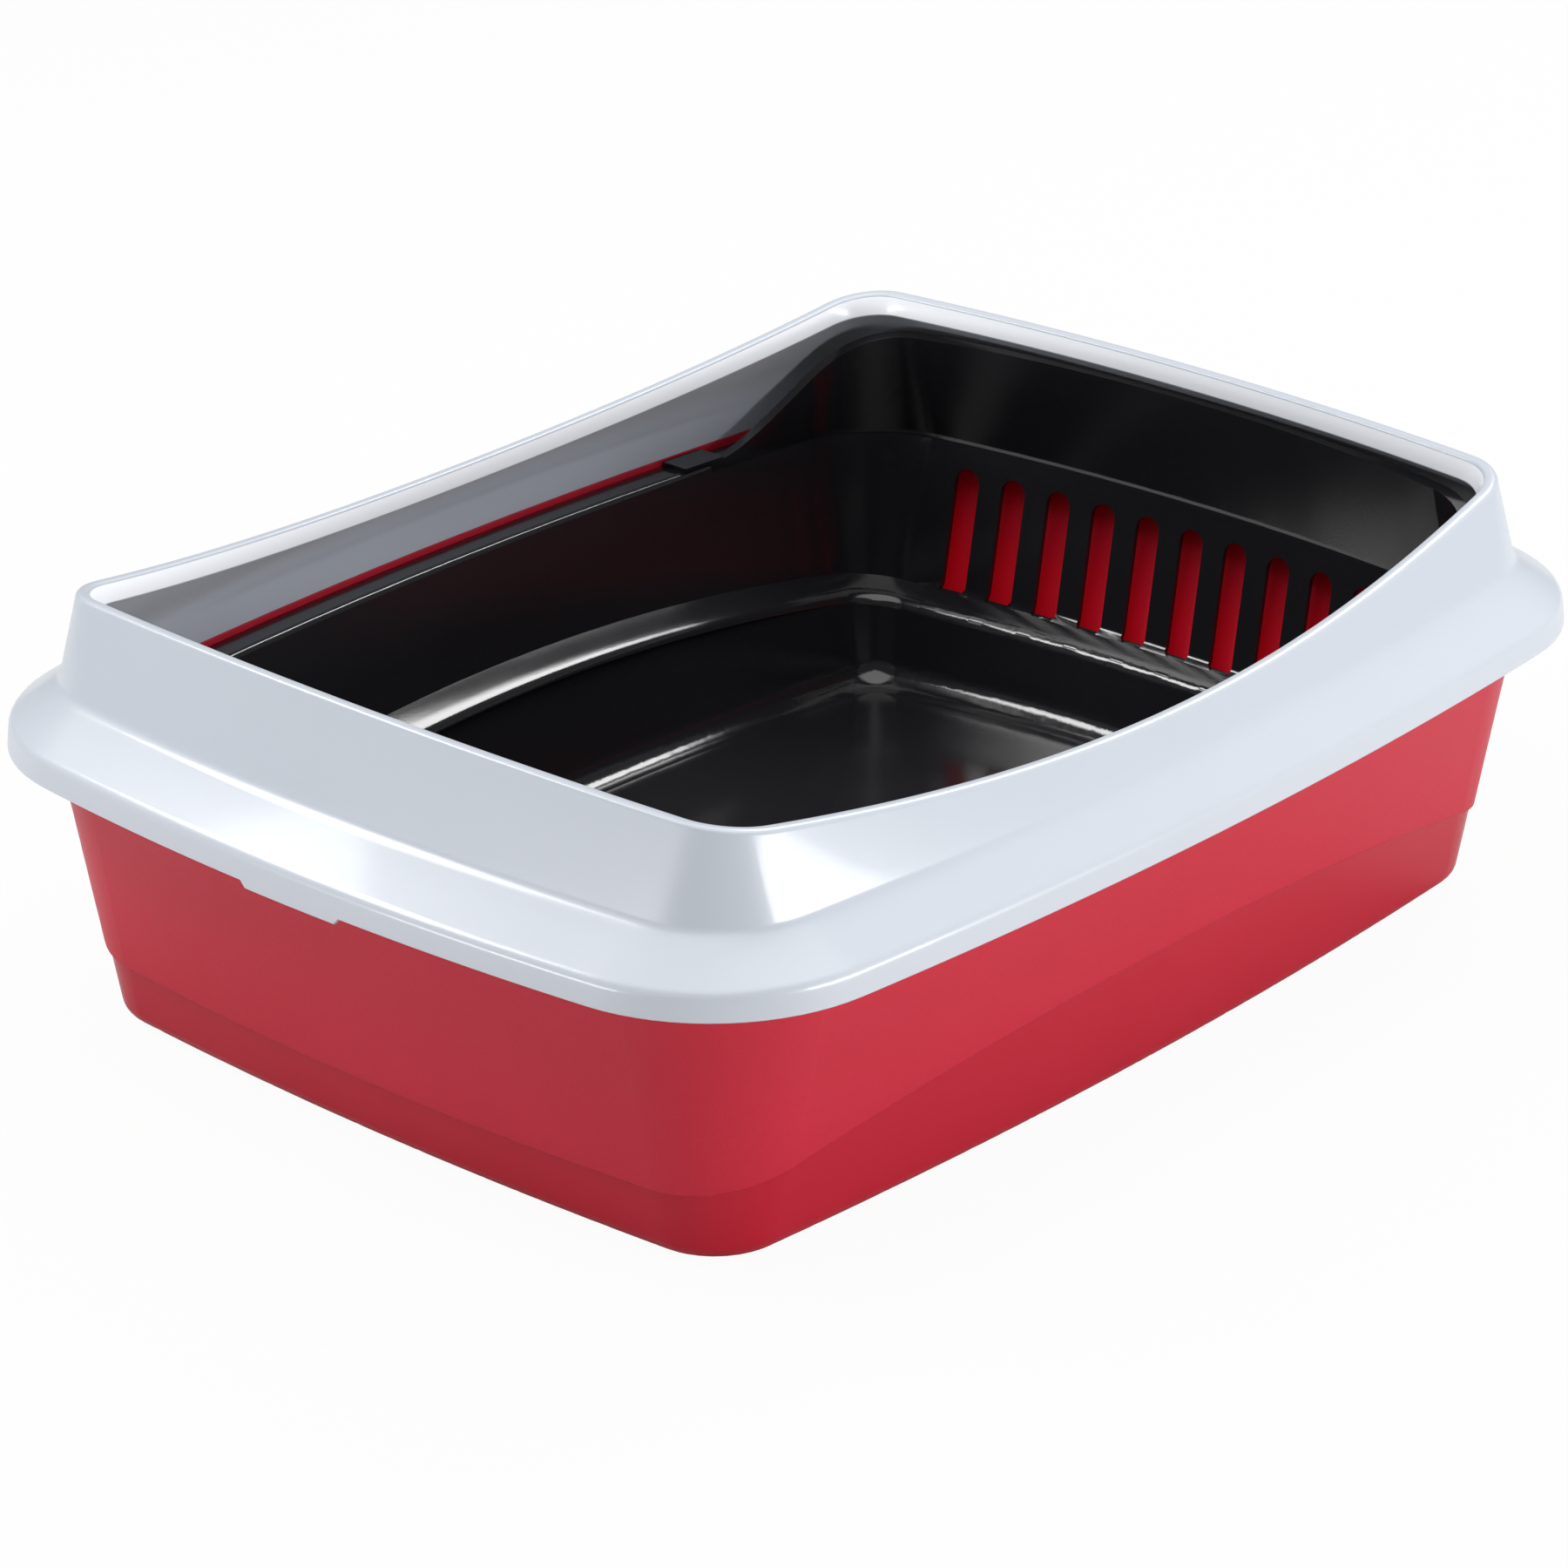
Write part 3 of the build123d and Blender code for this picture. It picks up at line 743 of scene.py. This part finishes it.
def slot_point(x, y, z):
    """New place of a point of the basin, in millimetres."""
    low, high = OLD_SLOT["low"] - SLOT_MARGIN, OLD_SLOT["high"] + SLOT_MARGIN
    if y < SLOT_WALL_Y or z < low or z > high or abs(x) > SLOT_ROW_HALF:
        return x, y, z
    from_middle = abs(x - nearest_slot(x) * OLD_SLOT["pitch"])
    in_slot = from_middle <= OLD_SLOT["half"] + SLOT_SIDE_MARGIN
    wall_y = BASIN_RIM.sizes[1] - (BASIN_RIM_HEIGHT - z) * WALL_LEAN
    outward = SHOULDER_WIDTH - (wall_y - x * x / (2 * LOW_WALL_BEND_RADIUS) - y)
    if outward < SHOULDER_WIDTH - WALL_MARGIN and z < arch_height(y) + NOTCH_RISE:
        return x, y, max(z, shoulder_level(outward, y)) if in_slot else z
    new_x = moved_across(x)
    new_z = moved_up(z) if in_slot else z
    new_y = y - (new_x**2 - x**2) / (2 * WALL_BEND_RADIUS) + WALL_LEAN * (new_z - z)
    return new_x, new_y, new_z


def basin_with_wide_slots():
    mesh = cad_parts["sieve_tray"].data.copy()
    mesh.name = "sieve_basin"
    moved = 0
    for vertex in mesh.vertices:
        old = tuple(value / MM for value in vertex.co)
        new = slot_point(*old)
        if new != old:
            vertex.co = [value * MM for value in new]
            moved += 1
    basin = bpy.data.objects.new("sieve_basin", mesh)
    scene.collection.objects.link(basin)
    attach(basin, "sieve_body")
    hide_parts("sieve_tray")
    print("sieve basin copied,", moved, "points moved")


basin_with_wide_slots()

# %% [markdown]
# ## Floor
# The photograph's ground is plain white. The floor could be lit until it is white, but then the
# box would be too bright. So to the camera it is nearly all a plain white of its own, with a small
# share lit by the lamps for the box's faint shadow, and to all other rays it is a pale grey.

# %% White floor
FLOOR_HALF_WIDTH = 6.0
PLAIN_WHITE_SHARE = 0.955


def white_ground_finish():
    finish = Finish("white_ground")
    light_path = finish.add("ShaderNodeLightPath")
    seen = Value(finish, light_path.outputs["Is Camera Ray"])
    lit = finish.add("ShaderNodeBsdfDiffuse", None, {"Color": (0.55, 0.55, 0.55, 1)})
    plain = finish.add("ShaderNodeEmission", None, {"Color": (1, 1, 1, 1), "Strength": 1.0})
    sockets = {0: seen * PLAIN_WHITE_SHARE, 1: lit.outputs[0], 2: plain.outputs[0]}
    mixed = finish.add("ShaderNodeMixShader", None, sockets)
    finish.links.new(mixed.outputs[0], finish.output.inputs["Surface"])
    return finish.material


def ground(half_width):
    mesh = bpy.data.meshes.new("ground")
    corners = [(-half_width, -half_width, 0), (half_width, -half_width, 0),
               (half_width, half_width, 0), (-half_width, half_width, 0)]
    mesh.from_pydata(corners, [], [(0, 1, 2, 3)])
    mesh.materials.append(white_ground_finish())
    floor = bpy.data.objects.new("ground", mesh)
    scene.collection.objects.link(floor)


ground(FLOOR_HALF_WIDTH)
print("ground laid")

# %% [markdown]
# ## Light
# A product table has soft lamps, and each one here draws something: a low strip to the right makes
# the long side bright, a low strip in front lights the short side, a softbox on the left reaches
# into the basin, and one overhead towards the back is what the sloping shoulder mirrors. A wide dim
# one over the middle fills in from above. The world adds an even grey, and shows white to the
# camera alone.

# %% Lamps
def softbox(name, place, aim, width, height, watts):
    lamp = bpy.data.lights.new(name, "AREA")
    lamp.shape = "RECTANGLE"
    lamp.size = width
    lamp.size_y = height
    lamp.energy = watts
    holder = bpy.data.objects.new(name, lamp)
    holder.location = place
    holder.rotation_euler = (Vector(aim) - Vector(place)).to_track_quat("-Z", "Y").to_euler()
    scene.collection.objects.link(holder)
    print(name, watts, "W")


softbox("right_strip", (2.28, 0.50, 0.34), (0, 0, 0.12), 1.5, 0.50, 43)
softbox("front_strip", (-0.78, -2.34, 0.17), (0, 0, 0.12), 1.2, 0.30, 20)
softbox("left_softbox", (-1.27, -0.86, 1.53), (0, 0, 0.1), 0.9, 0.5, 19)
softbox("back_softbox", (-0.12, 1.38, 1.70), (-0.12, 1.38, 0), 0.8, 0.75, 23)
softbox("top_softbox", (0.2, -0.2, 2.40), (0.2, -0.2, 0), 3.2, 3.2, 62)

# %% World
ROOM_COLOUR = (0.94, 0.97, 1.0, 1)
ROOM_STRENGTH = 0.16


def studio_world():
    world = bpy.data.worlds.new("studio")
    world.use_nodes = True
    nodes = world.node_tree.nodes
    links = world.node_tree.links
    nodes.clear()
    light_path = nodes.new("ShaderNodeLightPath")
    room = nodes.new("ShaderNodeBackground")
    room.inputs["Color"].default_value = ROOM_COLOUR
    room.inputs["Strength"].default_value = ROOM_STRENGTH
    backdrop = nodes.new("ShaderNodeBackground")
    backdrop.inputs["Strength"].default_value = 1.0
    mixed = nodes.new("ShaderNodeMixShader")
    output = nodes.new("ShaderNodeOutputWorld")
    links.new(light_path.outputs["Is Camera Ray"], mixed.inputs[0])
    links.new(room.outputs[0], mixed.inputs[1])
    links.new(backdrop.outputs[0], mixed.inputs[2])
    links.new(mixed.outputs[0], output.inputs["Surface"])
    return world


scene.world = studio_world()
scene.view_settings.view_transform = "Standard"
print("world set")

# %% [markdown]
# ## Camera
# The camera stands where the photograph's did: a long lens from the front right corner, about 24
# degrees above the floor. Its place was found by matching the tray's outlines with the photograph.

# %% Camera
CAMERA_PLACE = Vector((1.3990, -1.5648, 1.0064))
CAMERA_AIM = Vector((0.0610, -0.0796, 0.1160))
CAMERA_ROLL = math.radians(-0.403)
SENSOR_WIDTH = 36.0
LENS = 132.88
PICTURE_SHIFT = -10 / 1800


def photo_camera():
    forward = (CAMERA_AIM - CAMERA_PLACE).normalized()
    right = forward.cross(Vector((0, 0, 1))).normalized()
    above = right.cross(forward)
    turned_right = right * math.cos(CAMERA_ROLL) + above * math.sin(CAMERA_ROLL)
    turned_up = above * math.cos(CAMERA_ROLL) - right * math.sin(CAMERA_ROLL)
    camera = bpy.data.objects.new("photo_camera", bpy.data.cameras.new("photo_camera"))
    camera.data.sensor_width = SENSOR_WIDTH
    camera.data.lens = LENS
    camera.data.shift_y = PICTURE_SHIFT
    camera.data.clip_start = 0.05
    camera.data.clip_end = 50.0
    turn = Matrix((turned_right, turned_up, -forward)).transposed()
    camera.matrix_world = Matrix.Translation(CAMERA_PLACE) @ turn.to_4x4()
    scene.collection.objects.link(camera)
    scene.camera = camera


photo_camera()
print("camera placed")
